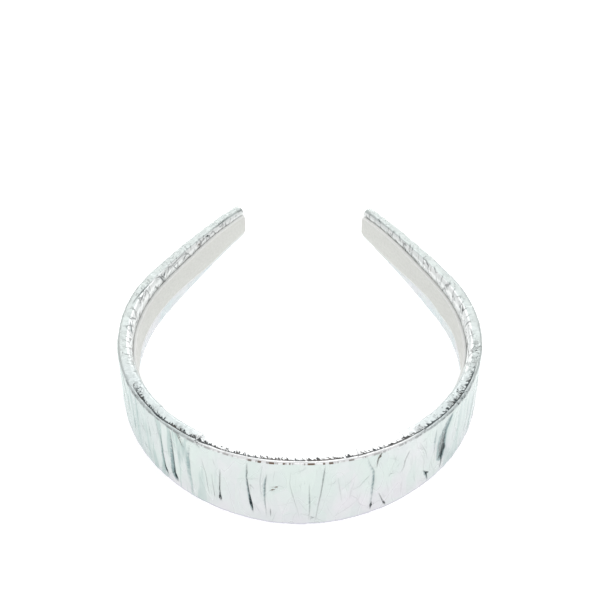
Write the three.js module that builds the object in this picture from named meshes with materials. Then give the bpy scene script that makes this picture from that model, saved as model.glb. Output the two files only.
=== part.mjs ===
// Plaque headband: a wide, stiff band covered in crinkled pearl leather, with a lining strip inside.
// It lies on its lower rim. Millimetres, +Z up, +Y from the crown to the tips.
// The origin is under the middle of its bounding box, on the surface that it lies on.

import * as THREE from 'three';

const { clamp, degToRad, lerp, smoothstep } = THREE.MathUtils;

// Plan of the band's middle line, as arcs from the middle of the crown to one tip. Each radius is a share
// of crownRadius.
const crownRadius = 62.9;
const planArcs = [
  { part: 'crown', radius: 1, sweep: 14.8 },
  { part: 'shoulder', radius: 1.163, sweep: 32.5 },
  { part: 'side', radius: 0.96, sweep: 75.3 },
  { part: 'leg', radius: 5.56, sweep: 8.5 },
];

// Height of the wall, which falls from the crown to the tips, and its lean towards the tips
const crownHeight = 37.3;
const tipHeight = 15.2;
const taperHold = 1.2;
const taperFall = 0.778;
const leanDegrees = 3;

// The lower rim is level along the crown. From riseStart, a share of the half length, it rises to the tips.
const riseStart = 0.5;
const tipRise = 6;

// Thickness of the wall with its cover
const crownThickness = 5.5;
const sideThickness = 5.8;
const tipThickness = 4;

// Edges: sharp outside, rolled inside where the cover turns in, and squared tips
const outerEdgeRadius = 0.95;
const innerEdgeRadius = 2;
const tipCornerRadius = 0.9;
const tipEdgeRadius = 0.8;

// Lining strip on the inner face, with a margin of the cover above and below it that narrows near the tips
const liningThickness = 1;
const liningGap = 0.3;
const liningTopMargin = 5.5;
const liningBottomMargin = 4.5;
const liningTipTopMargin = 2.4;
const liningTipBottomMargin = 3.5;
const liningNarrowing = { from: 0.6, to: 0.93 };
const liningSetback = 0.8;
const liningEdge = 0.3;
const liningCornerRadius = 1.2;

// Folds of the cover across the outer face
const foldWidth = 3;
const foldDepth = 0.9;

// A row for each main fold. Where it meets the top rim, the middle of the face and the lower rim is a share
// of the half length, from the middle of the crown. It runs from one height share down to another, where 1
// is the top rim and -1 the lower one. Width and depth are shares of foldWidth and foldDepth.
const crownFolds = [
  { top: -0.382, middle: -0.38, bottom: -0.382, from: 1, to: -0.6, width: 0.8, depth: 0.6 },
  { top: -0.33, middle: -0.343, bottom: -0.337, from: 1, to: -0.6, width: 0.8, depth: 0.5 },
  { top: -0.294, middle: -0.286, bottom: -0.271, from: 1, to: -0.85, width: 0.9, depth: 0.9 },
  { top: -0.253, middle: -0.252, bottom: -0.243, from: 0.9, to: -0.85, width: 1, depth: 1 },
  { top: -0.234, middle: -0.228, bottom: -0.225, from: 1, to: 0.3, width: 0.7, depth: 0.6 },
  { top: -0.203, middle: -0.211, bottom: -0.205, from: 0.9, to: -0.75, width: 1, depth: 0.6 },
  { top: -0.187, middle: -0.177, bottom: -0.171, from: 1, to: -0.65, width: 0.7, depth: 0.6 },
  { top: -0.163, middle: -0.16, bottom: -0.158, from: 0.2, to: -0.7, width: 0.5, depth: 0.5 },
  { top: -0.141, middle: -0.146, bottom: -0.145, from: 0.4, to: -0.65, width: 0.7, depth: 0.6 },
  { top: -0.089, middle: -0.09, bottom: -0.081, from: 0.95, to: -0.9, width: 0.9, depth: 1 },
  { top: -0.052, middle: -0.057, bottom: -0.054, from: 0.6, to: -0.85, width: 0.8, depth: 0.6 },
  { top: -0.009, middle: -0.008, bottom: 0.006, from: 0.8, to: -0.85, width: 0.8, depth: 0.5 },
  { top: 0.024, middle: 0.025, bottom: 0.023, from: 0.35, to: -0.9, width: 0.7, depth: 0.5 },
  { top: 0.054, middle: 0.047, bottom: 0.04, from: 0.95, to: -0.95, width: 0.8, depth: 0.6 },
  { top: 0.079, middle: 0.083, bottom: 0.086, from: 0.15, to: -0.35, width: 0.6, depth: 0.4 },
  { top: 0.104, middle: 0.103, bottom: 0.102, from: 0.1, to: -0.35, width: 0.6, depth: 0.4 },
  { top: 0.13, middle: 0.146, bottom: 0.144, from: 1, to: -0.85, width: 1.1, depth: 0.9 },
  { top: 0.16, middle: 0.166, bottom: 0.174, from: -0.3, to: -0.9, width: 0.7, depth: 0.7 },
  { top: 0.22, middle: 0.206, bottom: 0.206, from: 0.6, to: -0.8, width: 0.8, depth: 0.6 },
  { top: 0.244, middle: 0.264, bottom: 0.272, from: 0.5, to: -0.9, width: 0.8, depth: 0.7 },
  { top: 0.288, middle: 0.288, bottom: 0.291, from: 0.9, to: -0.3, width: 0.8, depth: 0.5 },
  { top: 0.334, middle: 0.318, bottom: 0.313, from: 0.8, to: -0.65, width: 1.3, depth: 1.2 },
  { top: 0.392, middle: 0.398, bottom: 0.39, from: 0.4, to: -0.6, width: 0.8, depth: 0.6 },
];

// Along the legs the folds are even and lean to and fro
const legFolds = { start: 0.45, end: 0.93, count: 9, lean: 0.007, width: 0.8, depth: 0.6 };

// Fineness of the faceted surface
const stationStep = 4.5;
const faceRows = 6;
const outerEdgeSteps = 2;
const innerEdgeSteps = 3;
const tipSteps = 4;
const foldFade = 0.2;

const halfLength = planArcs.reduce((sum, arc) => sum + arcLength(arc), 0);

function arcLength(arc) {
  return arc.radius * crownRadius * degToRad(arc.sweep);
}

// Place and outward normal on the middle line, at a signed length from the middle of the crown
function planAt(along) {
  const side = Math.sign(along) || 1;
  let left = Math.min(Math.abs(along), halfLength);
  let heading = 0;
  let x = 0;
  let y = 0;
  for (const arc of planArcs) {
    const radius = arc.radius * crownRadius;
    const run = Math.min(left, arcLength(arc));
    const turned = heading + run / radius;
    x += radius * (Math.sin(turned) - Math.sin(heading));
    y += radius * (Math.cos(heading) - Math.cos(turned));
    heading = turned;
    left -= run;
  }
  return { x: side * x, y, normalX: side * Math.sin(heading), normalY: -Math.cos(heading) };
}

function shareAt(along) {
  return Math.min(1, Math.abs(along) / halfLength);
}

function heightAt(share) {
  const fall = (1 - share ** taperHold) ** taperFall;
  return lerp(tipHeight, crownHeight, fall);
}

// How far the lower rim stands above the surface that the band lies on
function riseAt(share) {
  return tipRise * (Math.max(0, share - riseStart) / (1 - riseStart)) ** 2;
}

// A parabola through the thicknesses at the crown, halfway and at the tip
function thicknessAt(share) {
  const bulge = sideThickness - (crownThickness + tipThickness) / 2;
  return lerp(crownThickness, tipThickness, share) + 4 * bulge * share * (1 - share);
}

// How far a rounded end stands back at a distance from that end
function roundEnd(distance, radius) {
  const inside = clamp(radius - distance, 0, radius);
  return radius - Math.sqrt(radius ** 2 - inside ** 2);
}

// A point at a length along the band, an outward offset from its middle line and a height
function bandPoint(along, offset, height) {
  const plan = planAt(along);
  const lean = height * Math.tan(degToRad(leanDegrees));
  return new THREE.Vector3(plan.x + offset * plan.normalX, plan.y + offset * plan.normalY + lean, height);
}

function cornerPoints(centre, radius, from, steps, follows) {
  return Array.from({ length: steps + 1 }, (_, step) => {
    const angle = degToRad(from + 90 * step / steps);
    return {
      offset: centre.offset + radius * Math.cos(angle),
      height: centre.height + radius * Math.sin(angle),
      follows,
    };
  });
}

// Outline of the wall across the band, from the lower outer edge up the outer face and down the inner one.
// The points that follow the folds are those of the outer face and its edges.
function bandSection(along) {
  const toTip = halfLength - Math.abs(along);
  const share = shareAt(along);
  const half = thicknessAt(share) / 2 - roundEnd(toTip, tipEdgeRadius);
  const corner = roundEnd(toTip, tipCornerRadius);
  const low = riseAt(share) + corner;
  const high = riseAt(share) + heightAt(share) - corner;
  const fit = Math.min(1, 1.6 * half / (outerEdgeRadius + innerEdgeRadius));
  const outer = fit * outerEdgeRadius;
  const inner = fit * innerEdgeRadius;
  const face = Array.from({ length: faceRows - 1 }, (_, row) => ({
    offset: half,
    height: lerp(low + outer, high - outer, (row + 1) / faceRows),
    follows: true,
  }));
  const points = [
    ...cornerPoints({ offset: half - outer, height: low + outer }, outer, -90, outerEdgeSteps, true),
    ...face,
    ...cornerPoints({ offset: half - outer, height: high - outer }, outer, 0, outerEdgeSteps, true),
    ...cornerPoints({ offset: inner - half, height: high - inner }, inner, 90, innerEdgeSteps, false),
    ...cornerPoints({ offset: inner - half, height: low + inner }, inner, 180, innerEdgeSteps, false),
  ];
  return { points, low, high };
}

// The main folds and the leg folds, in order along the band
function allFolds() {
  const folds = [...crownFolds];
  for (const side of [-1, 1]) {
    for (let index = 0; index < legFolds.count; index += 1) {
      const middle = side * lerp(legFolds.start, legFolds.end, index / (legFolds.count - 1));
      const lean = index % 2 === 0 ? legFolds.lean : -legFolds.lean;
      const { width, depth } = legFolds;
      folds.push({ top: middle + lean, middle, bottom: middle - lean, from: 1, to: -1, width, depth });
    }
  }
  return folds.sort((a, b) => a.middle - b.middle);
}

// A station is a line across the band, given by the lengths where it crosses the top, middle and bottom of
// the outer face. Where it is the valley of a fold, the face stands back along it.
function stationOn(fold, shift) {
  const place = (share) => share * halfLength + shift;
  return { top: place(fold.top), middle: place(fold.middle), bottom: place(fold.bottom) };
}

function straightStation(along) {
  return { top: along, middle: along, bottom: along };
}

function stationBetween(station, next, share) {
  return {
    top: lerp(station.top, next.top, share),
    middle: lerp(station.middle, next.middle, share),
    bottom: lerp(station.bottom, next.bottom, share),
  };
}

function gapBetween(station, next) {
  return Math.min(next.top - station.top, next.middle - station.middle, next.bottom - station.bottom);
}

// Lengths from the middle of the crown to the stations round a tip's corners, the outermost first
function tipLengths() {
  return Array.from({ length: tipSteps + 1 }, (_, step) => {
    const angle = 0.5 * Math.PI * step / tipSteps;
    return halfLength - tipCornerRadius * (1 - Math.cos(angle));
  });
}

// Three stations for each fold, its shoulders and its valley, between those of the two tips
function mainStations() {
  const tips = tipLengths();
  const innermost = tips[tipSteps];
  const folds = allFolds();
  const valleys = folds.map((fold) => ({ ...stationOn(fold, 0), fold }));
  const ends = [straightStation(-innermost), straightStation(innermost)];
  const shoulders = valleys.flatMap((valley, index) => {
    const before = valleys[index - 1] ?? ends[0];
    const after = valleys[index + 1] ?? ends[1];
    const room = Math.min(gapBetween(before, valley), gapBetween(valley, after));
    const half = Math.min(0.5 * foldWidth * valley.fold.width, 0.45 * room);
    return [stationOn(valley.fold, -half), valley, stationOn(valley.fold, half)];
  });
  const left = tips.map((length) => straightStation(-length));
  const right = tips.map(straightStation).reverse();
  return [...left, ...shoulders, ...right];
}

// All stations, with plain ones wherever two are more than stationStep apart
function bandStations() {
  const main = mainStations();
  return main.flatMap((station, index) => {
    const next = main[index + 1] ?? station;
    const steps = Math.max(1, Math.ceil((next.middle - station.middle) / stationStep));
    const between = Array.from({ length: steps - 1 }, (_, step) => (
      stationBetween(station, next, (step + 1) / steps)
    ));
    return [station, ...between];
  });
}

// How far the face stands back at a height share. A fold that ends short of a rim fades out.
function dipAt(station, level) {
  const { fold } = station;
  if (!fold) {
    return 0;
  }
  const upper = fold.from >= 1 ? 1 : smoothstep(fold.from - level, 0, foldFade);
  const lower = fold.to <= -1 ? 1 : smoothstep(level - fold.to, 0, foldFade);
  return foldDepth * fold.depth * upper * lower;
}

// A closed ring of points round the wall at a station
function bandRing(station) {
  const { points, low, high } = bandSection(station.middle);
  return points.map((point, index) => {
    if (!point.follows) {
      return bandPoint(station.middle, point.offset, point.height);
    }
    const level = clamp(2 * (point.height - low) / (high - low) - 1, -1, 1);
    const along = lerp(station.middle, level > 0 ? station.top : station.bottom, Math.abs(level));
    const own = bandSection(along).points[index];
    return bandPoint(along, own.offset - dipAt(station, level), own.height);
  });
}

// Where the lining lies across the band: a strip with its visible edges eased
function liningRing(along) {
  const share = shareAt(along);
  const narrowing = smoothstep(share, liningNarrowing.from, liningNarrowing.to);
  const toEnd = halfLength - liningSetback - Math.abs(along);
  const corner = roundEnd(toEnd, liningCornerRadius);
  const topMargin = lerp(liningTopMargin, liningTipTopMargin, narrowing) + corner;
  const bottomMargin = lerp(liningBottomMargin, liningTipBottomMargin, narrowing) + corner;
  const low = riseAt(share) + bottomMargin;
  const high = riseAt(share) + heightAt(share) - topMargin;
  const back = -thicknessAt(share) / 2 - liningGap;
  const front = back - liningThickness;
  return [
    bandPoint(along, back, low),
    bandPoint(along, back, high),
    bandPoint(along, front + liningEdge, high),
    bandPoint(along, front, high - liningEdge),
    bandPoint(along, front, low + liningEdge),
    bandPoint(along, front + liningEdge, low),
  ];
}

function liningLengths() {
  const end = halfLength - liningSetback;
  const inner = end - liningCornerRadius;
  const steps = Math.ceil(2 * inner / stationStep);
  const corner = Array.from({ length: tipSteps }, (_, step) => {
    const angle = 0.5 * Math.PI * step / tipSteps;
    return end - liningCornerRadius * (1 - Math.cos(angle));
  });
  const middle = Array.from({ length: steps + 1 }, (_, step) => lerp(-inner, inner, step / steps));
  return [...corner.map((length) => -length), ...middle, ...corner.reverse()];
}

// A closed solid through rings of equally many points, with a flat cap on each end
function loft(rings) {
  const size = rings[0].length;
  const indices = [];
  for (let ring = 0; ring < rings.length - 1; ring += 1) {
    for (let index = 0; index < size; index += 1) {
      const here = ring * size + index;
      const beside = ring * size + (index + 1) % size;
      indices.push(here, here + size, beside);
      indices.push(beside, here + size, beside + size);
    }
  }
  const last = (rings.length - 1) * size;
  for (let index = 1; index < size - 1; index += 1) {
    indices.push(0, index, index + 1);
    indices.push(last, last + index + 1, last + index);
  }
  const geometry = new THREE.BufferGeometry().setFromPoints(rings.flat());
  geometry.setIndex(indices);
  geometry.computeVertexNormals();
  return geometry;
}

function makeCoveredBand() {
  const pearlLeather = new THREE.MeshStandardMaterial({ color: 0xe0ebe8, roughness: 0.35, metalness: 0.4 });
  const mesh = new THREE.Mesh(loft(bandStations().map(bandRing)), pearlLeather);
  mesh.name = 'covered_band';
  return mesh;
}

function makeLiningStrip() {
  const greyWeave = new THREE.MeshStandardMaterial({ color: 0xd5d6d2, roughness: 0.95, metalness: 0 });
  const mesh = new THREE.Mesh(loft(liningLengths().map(liningRing)), greyWeave);
  mesh.name = 'lining_strip';
  return mesh;
}

const group = new THREE.Group();
group.add(makeCoveredBand());
group.add(makeLiningStrip());

// The origin moves from the crown to the middle of the bounding box
const middle = new THREE.Box3().setFromObject(group).getCenter(new THREE.Vector3());
for (const mesh of group.children) {
  mesh.position.set(-middle.x, -middle.y, 0);
}

export default group;
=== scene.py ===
"""Looks of a wide headband covered in crinkled pearl leather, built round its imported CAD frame.

Blender units are metres. Sizes that belong to the band are in millimetres and are scaled by MM.
"""

import math
from collections import namedtuple

import bpy
import numpy as np
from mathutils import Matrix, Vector


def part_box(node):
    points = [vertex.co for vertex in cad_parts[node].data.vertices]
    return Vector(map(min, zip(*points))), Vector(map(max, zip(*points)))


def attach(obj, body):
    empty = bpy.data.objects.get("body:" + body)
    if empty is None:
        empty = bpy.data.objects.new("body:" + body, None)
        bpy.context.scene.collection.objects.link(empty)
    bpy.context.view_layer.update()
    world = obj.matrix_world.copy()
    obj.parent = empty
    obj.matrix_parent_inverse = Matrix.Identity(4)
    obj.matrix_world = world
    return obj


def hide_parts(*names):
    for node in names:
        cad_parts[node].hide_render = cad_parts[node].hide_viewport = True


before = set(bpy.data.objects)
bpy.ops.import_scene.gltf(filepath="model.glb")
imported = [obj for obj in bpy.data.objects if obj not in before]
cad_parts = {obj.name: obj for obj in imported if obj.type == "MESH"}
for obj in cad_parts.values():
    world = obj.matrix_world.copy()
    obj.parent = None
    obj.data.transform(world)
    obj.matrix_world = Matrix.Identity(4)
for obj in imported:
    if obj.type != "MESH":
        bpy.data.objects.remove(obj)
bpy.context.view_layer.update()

MM = 0.001

# Plan of the band's middle line, as arcs from the middle of the crown to one tip: radius, sweep in degrees
PLAN_ARCS = [(62.9, 14.8), (73.15, 32.5), (60.38, 75.3), (349.7, 8.5)]
HALF_LENGTH = sum(radius * math.radians(sweep) for radius, sweep in PLAN_ARCS)

# Height and thickness of the wall
CROWN_HEIGHT = 37.3
TIP_HEIGHT = 15.2
TAPER_HOLD = 1.2
TAPER_FALL = 0.778
LEAN = math.tan(math.radians(3))
RISE_START = 0.5
TIP_RISE = 6.0
CROWN_THICKNESS = 5.5
SIDE_THICKNESS = 5.8
TIP_THICKNESS = 4.0
OUTER_EDGE = 0.95
INNER_EDGE = 2.0
TIP_CORNER = 0.9
TIP_EDGE = 0.8

# Lining strip
LINING_THICKNESS = 1.0
LINING_TOP_MARGIN = 5.5
LINING_BOTTOM_MARGIN = 4.5
LINING_TIP_TOP_MARGIN = 2.4
LINING_TIP_BOTTOM_MARGIN = 3.5
LINING_NARROWING = (0.6, 0.93)
LINING_SETBACK = 0.8
LINING_CORNER = 1.2
LINING_CLEARANCE = 0.03
LINING_EDGE = 0.35
LINING_PALE_EDGE = 0.75
LINING_ROWS = 20

# How much higher the lining's lower edge lies along the middle of each leg, which the solid doesn't have
LINING_LEG_MARGIN = 4.0

# How far down from the top rim and up from the bottom one the cover's inner face has rows of its own, at most
UPPER_MARGIN = 4.6
LOWER_MARGIN = 8.6

# Fineness of the meshes: how far the fine steps reach, steps along the band in millimetres, rows across it
DENSE_SHARE = 0.47
DENSE_STEP = 0.25
LEG_STEP = 0.45
TIP_STATIONS = 9
FACE_ROWS = 42
LINING_STEP = 0.8

SEED = 20
NOISE_SIZE = 256

# Creases: half width of their lines of painted shade, how far the strongest one counts, what is no
# distance at all, the shares of the depth that the groove and the lip beside it take, and how far each side
# gets painted shade, in widths
SMALL_CREASES = 260
LINE_WIDTH = 0.2
LINE_REACH = 0.8
FAR = 9.0
GROOVE_SHARE = 0.65
LIP_SHARE = 0.2
SHADED_SIDE = 1.3
OTHER_SIDE = 0.4

# The camera, at the photograph's viewing angle: in degrees and metres, and its target in millimetres
CAMERA_AZIMUTH = 1.229
CAMERA_ELEVATION = 49.44
CAMERA_DISTANCE = 0.5494
CAMERA_LENS = 81.375
CAMERA_TARGET = (-0.504, 24.57, 15.0)

# The columns of one crease of the cover. width and depth are its groove's, in millimetres. dark, tint
# and warm say how near black its line of painted shade is, how strong the painted blue-grey shade beside it
# is and how brown its painted reflection is. peak is the share of its path where it is strongest. wedge is
# how much wider its dark line is there, and shade is the side it is shaded on.
Crease = namedtuple("Crease", "path width depth dark tint warm peak wedge shade",
                    defaults=(0, 0.5, 0, -1))

# The creases that the photograph shows on the crown, from left to right, in the columns of Crease. A place on
# the path is the distance from the middle of the crown, in thousandths of the half length, and the height
# above the face's middle, in hundredths of half its height.
CROWN_CREASES = [
    ([(-382, 102), (-382, 71), (-380, 15), (-379, -47)], 0.9, 0.5, 0.5, 0.5, 0, 0.95),
    ([(-357, 102), (-358, 45), (-356, -31)], 0.6, 0.3, 0.15, 0.5),
    ([(-330, 102), (-325, 98)], 0.45, 0.35, 0.9, 0.2),
    ([(-349, 18), (-341, 8), (-331, -1)], 0.35, 0.2, 0.75, 0, 0.5),
    ([(-341, -45), (-333, -61)], 0.5, 0.3, 0.6, 0.6),
    ([(-319, 102), (-315, 30), (-313, -56)], 0.6, 0.3, 0.12, 0.5),
    ([(-294, 102), (-287, 40), (-286, 8)], 0.5, 0.3, 0.35, 0.4, 0, 0.3),
    ([(-282, 63), (-280, -19), (-278, -57), (-271, -85)], 0.8, 0.8, 0.95, 0.8, 0, 0.9, 0.35),
    ([(-253, 102), (-252, 43), (-252, -3), (-252, -56), (-243, -83)], 1.3, 0.9, 1, 1.1, 0, 0.92, 0.45),
    ([(-237, 102), (-227, 78), (-222, 61)], 0.35, 0.25, 1, 0, 0.7),
    ([(-230, 102), (-225, 85)], 0.3, 0.2, 0.9, 0, 0.3),
    ([(-224, 93), (-219, 64), (-219, 41)], 0.6, 0.3, 0.25, 0.5),
    ([(-203, 94), (-211, 35), (-211, -17), (-204, -71)], 1.2, 0.5, 0.25, 0.8),
    ([(-190, 102), (-182, 86)], 0.3, 0.2, 0.8, 0.1),
    ([(-182, 59), (-174, 10), (-169, -63)], 0.45, 0.3, 0.45, 0.3, 0, 0.6),
    ([(-161, 18), (-158, -65)], 0.4, 0.3, 0.5, 0.3, 0, 0.85),
    ([(-142, 45), (-146, -28), (-145, -67)], 0.5, 0.45, 1.1, 0.4, 0, 0.91, 0.4),
    ([(-88, 94), (-90, 40), (-87, -8), (-84, -37), (-80, -74)], 0.6, 0.6, 1.1, 0.9, 0, 0.82, 0.35),
    ([(-88, 65), (-90, 45)], 0.4, 0.3, 0.8, 0.2),
    ([(-88, 29), (-82, 17), (-76, 6)], 0.3, 0.2, 0.5, 0.1),
    ([(-59, 96), (-65, 38), (-63, -21)], 0.45, 0.3, 0.3, 0.35),
    ([(-52, 64), (-56, 23), (-57, -24), (-54, -80)], 0.6, 0.5, 0.6, 0.7, 0, 0.35),
    ([(-47, -49), (-47, -78)], 0.35, 0.3, 0.7, 0.4),
    ([(-50, 20), (-32, 30), (-15, 21)], 0.3, 0.15, 0.25, 0.1),
    ([(-47, 11), (-36, 16)], 0.35, 0.2, 1.3, 0, 1.2, 0.5, 0.4),
    ([(-39, 22), (-31, 26)], 0.3, 0.2, 1.3, 0, 1.2, 0.5, 0.3),
    ([(-8, 80), (-11, 36), (-7, 5), (2, -46), (7, -78)], 0.45, 0.4, 0.3, 0.3),
    ([(24, 40), (26, -37), (24, -84)], 0.5, 0.4, 0.55, 0.5),
    ([(53, 97), (50, 52), (46, 3), (41, -38), (36, -89)], 0.45, 0.45, 0.65, 0.3, 0, 0.3),
    ([(25, -80), (36, -75)], 0.3, 0.15, 0.7, 0),
    ([(33, -32), (45, -30)], 0.4, 0.15, 0.2, 0.4),
    ([(76, 53), (80, 16), (85, -33)], 0.4, 0.3, 0.25, 0.2),
    ([(108, 28), (104, 6), (99, -32)], 0.4, 0.3, 0.25, 0.2),
    ([(139, 35), (128, 21), (118, 5), (103, -3)], 0.35, 0.25, 0.45, 0.1, 0, 0.3),
    ([(57, 31), (69, 33), (74, 45)], 0.3, 0.12, 0.35, 0),
    ([(160, 102), (153, 79), (150, 55)], 0.6, 0.5, 1.1, 0.2, 0.5, 0.35, 0.35),
    ([(129, 102), (138, 66), (146, 45), (147, 12), (145, -42), (142, -84)], 0.9, 0.8, 0.35, 0.75, 0, 0.5),
    ([(145, -61), (142, -86)], 0.4, 0.35, 1.2, 0.3, 0, 0.5, 0.35),
    ([(158, -37), (167, -70), (174, -89)], 0.4, 0.35, 1, 0.2, 0, 0.85, 0.25),
    ([(176, 6), (182, 13), (189, 9)], 0.3, 0.15, 0.6, 0),
    ([(176, 69), (186, 60), (197, 46)], 0.3, 0.12, 0.3, 0),
    ([(192, 72), (187, 44)], 0.3, 0.12, 0.25, 0),
    ([(221, 66), (212, 36), (210, 16), (203, -3)], 0.45, 0.35, 0.65, 0.3, 0, 0.4),
    ([(208, -30), (207, -77)], 0.35, 0.2, 0.25, 0.2),
    ([(241, 77), (249, 60), (262, 24), (270, -13)], 0.5, 0.35, 0.35, 0.3),
    ([(251, 67), (261, 72)], 0.3, 0.12, 0.5, 0),
    ([(259, -40), (271, -63), (274, -90)], 0.9, 0.7, 1.1, 1, 0, 0.5, 0.9),
    ([(288, 102), (287, 43), (287, -23)], 0.9, 0.4, 0.2, 0.7),
    ([(336, 99), (327, 61), (318, 39), (317, 9), (317, -26), (311, -61)], 2.3, 1.2, 0.8, 1.7, 0, 0.8, 1.1),
    ([(327, 95), (318, 61), (309, 39), (308, 9), (308, -26), (306, -55)], 2.2, 0.6, 0, 1.8, 0, 0.6),
    ([(318, -25), (313, -57), (307, -85)], 0.5, 0.4, 1.1, 0.3, 0, 0.4),
    ([(350, 95), (346, 41), (338, -24)], 0.5, 0.3, 0.2, 0.5),
    ([(397, 59), (402, -11), (389, -54)], 0.5, 0.4, 0.55, 0.4, 0, 0.8),
    ([(415, 102), (418, 24), (415, -70)], 0.6, 0.3, 0.2, 0.5),
]

# Where the cover is gathered most tightly over the top rim: share of the half length, spread and strength
RIM_GATHERS = [
    (-0.75, 0.2, 0.35), (-0.5, 0.06, 0.3), (-0.37, 0.04, 1.0), (-0.31, 0.012, 0.6), (-0.235, 0.012, 0.9),
    (-0.2, 0.02, 1.0), (-0.13, 0.01, 0.6), (0.13, 0.01, 0.5), (0.26, 0.03, 0.7), (0.31, 0.02, 0.9),
    (0.37, 0.05, 1.0), (0.5, 0.06, 0.8), (0.72, 0.15, 0.25),
]

# Long dark lines along the top rim, of painted shade with some painted brown reflection: first and last
# share, how far past the face, dark and warm
RIM_LINES = [
    (-0.312, -0.262, 1.7, 1.2, 0.0), (-0.262, -0.225, 2.0, 0.7, 0.3), (-0.198, -0.165, 1.75, 1.1, 0.1),
    (-0.165, -0.128, 1.9, 0.8, 0.2), (0.16, 0.243, 1.85, 0.9, 0.2), (0.095, 0.15, 1.8, 0.6, 0.2),
    (0.25, 0.29, 1.8, 0.9, 0.0), (-0.07, 0.0, 1.9, 0.45, 0.3), (0.02, 0.09, 1.85, 0.6, 0.4),
]

# The creases that the photograph shows on the rims and margins of the legs, in the same columns. Here a place
# on the path is the distance in thousandths, and how far past the face's top edge it lies, in millimetres.
LEG_MARKS = [
    ([(-500, 10.4), (-493, 7.6), (-462, 6.7), (-436, 5.8)], 0.6, 0.4, 1.2, 0.6, 0.6, 0.25, 0.6),
    ([(-607, 4.1), (-587, 7), (-576, 10.6)], 0.4, 0.3, 0.9, 0.5),
    ([(-571, 4.5), (-545, 6.3), (-533, 10.4)], 0.7, 0.4, 1, 1, 0.2, 0.7, 0.4),
    ([(-664, 4.6), (-642, 5.2), (-622, 5.5)], 0.35, 0.3, 0.9, 0.2),
    ([(-704, 4.4), (-718, 5.2), (-727, 10.5)], 0.5, 0.4, 1, 0.6, 0, 0.5, 0.2),
    ([(-742, 4.6), (-729, 6.1), (-729, 8.7)], 0.45, 0.4, 1, 0.5, 0, 0.5, 0.2),
    ([(-760, 5.4), (-773, 8.9)], 0.35, 0.3, 0.8, 0.4),
    ([(-791, 6.4), (-811, 5.8)], 0.35, 0.3, 0.9, 0.3),
    ([(-842, 5.9), (-858, 5.6)], 0.4, 0.3, 1.1, 0.2, 0.5, 0.5, 0.3),
    ([(-873, 4.6), (-889, 5.4)], 0.4, 0.3, 1.2, 0.2, 0, 0.5, 0.3),
    ([(-616, 2.8), (-669, 4), (-704, 4.4)], 0.4, 0.3, 0.9, 0.3),
    ([(-740, 4.3), (-760, 5.2), (-813, 4.3)], 0.4, 0.3, 0.8, 0.3),
    ([(-749, 6), (-767, 5.1), (-791, 5)], 0.35, 0.25, 0.7, 0.3),
    ([(-827, 7.7), (-836, 6.2)], 0.35, 0.25, 0.8, 0.4),
    ([(-910, 4.2), (-955, 3.6)], 0.35, 0.25, 0.8, 0.2),
    ([(560, 10.2), (513, 6.9), (480, 5.5)], 0.6, 0.4, 1.2, 0.7, 0.3, 0.4, 0.5),
    ([(638, 4.6), (618, 5.5), (607, 7.9)], 0.4, 0.3, 1, 0.5, 0, 0.5, 0.2),
    ([(580, 8.5), (544, 6.6)], 0.4, 0.3, 0.9, 0.4),
    ([(709, 3.8), (700, 6.2), (702, 9.1)], 0.35, 0.3, 0.8, 0.3),
    ([(800, 4.4), (789, 4.1), (773, 5), (764, 9.2)], 0.4, 0.3, 0.9, 0.4),
    ([(869, 4.6), (851, 5)], 0.35, 0.3, 0.9, 0.3),
    ([(853, 6.1), (847, 8.3)], 0.4, 0.3, 1, 0.3, 0, 0.5, 0.25),
    ([(956, 3.4), (942, 4.3)], 0.35, 0.25, 0.9, 0.2),
    ([(920, 5.3), (907, 6.8)], 0.35, 0.25, 0.7, 0.2, 0.5),
    ([(891, 6.9), (878, 7.8)], 0.35, 0.25, 0.7, 0.2),
    ([(564, 4.8), (533, 4.3)], 0.35, 0.25, 0.8, 0.2),
    ([(673, 5.7), (649, 6.9)], 0.35, 0.25, 0.7, 0.3),
]


def smoothstep(value, low, high):
    share = np.clip((value - low) / (high - low), 0, 1)
    return share * share * (3 - 2 * share)


def plan_at(along):
    """Place and outward normal on the middle line, at signed lengths from the middle of the crown."""
    left = np.minimum(np.abs(along), HALF_LENGTH)
    heading = np.zeros_like(left)
    x = np.zeros_like(left)
    y = np.zeros_like(left)
    for radius, sweep in PLAN_ARCS:
        run = np.minimum(left, radius * math.radians(sweep))
        turned = heading + run / radius
        x += radius * (np.sin(turned) - np.sin(heading))
        y += radius * (np.cos(heading) - np.cos(turned))
        heading = turned
        left = left - run
    side = np.where(along < 0, -1.0, 1.0)
    return side * x, y, side * np.sin(heading), -np.cos(heading)


def height_at(share):
    return TIP_HEIGHT + (CROWN_HEIGHT - TIP_HEIGHT) * (1 - share**TAPER_HOLD)**TAPER_FALL


def rise_at(share):
    return TIP_RISE * (np.maximum(0, share - RISE_START) / (1 - RISE_START))**2


def thickness_at(share):
    bulge = SIDE_THICKNESS - (CROWN_THICKNESS + TIP_THICKNESS) / 2
    return CROWN_THICKNESS + (TIP_THICKNESS - CROWN_THICKNESS) * share + 4 * bulge * share * (1 - share)


def round_end(distance, radius):
    inside = np.clip(radius - distance, 0, radius)
    return radius - np.sqrt(radius**2 - inside**2)


def in_row_frame(along, offset, height):
    """Points of the band in metres, from lengths along it, outward offsets and heights in millimetres."""
    x, y, normal_x, normal_y = plan_at(along)
    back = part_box("covered_band")[0][1] / MM + 0.5 * CROWN_THICKNESS
    points = [x + offset * normal_x, y + offset * normal_y + LEAN * height + back, height]
    return np.stack(points, axis=-1) * MM


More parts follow.
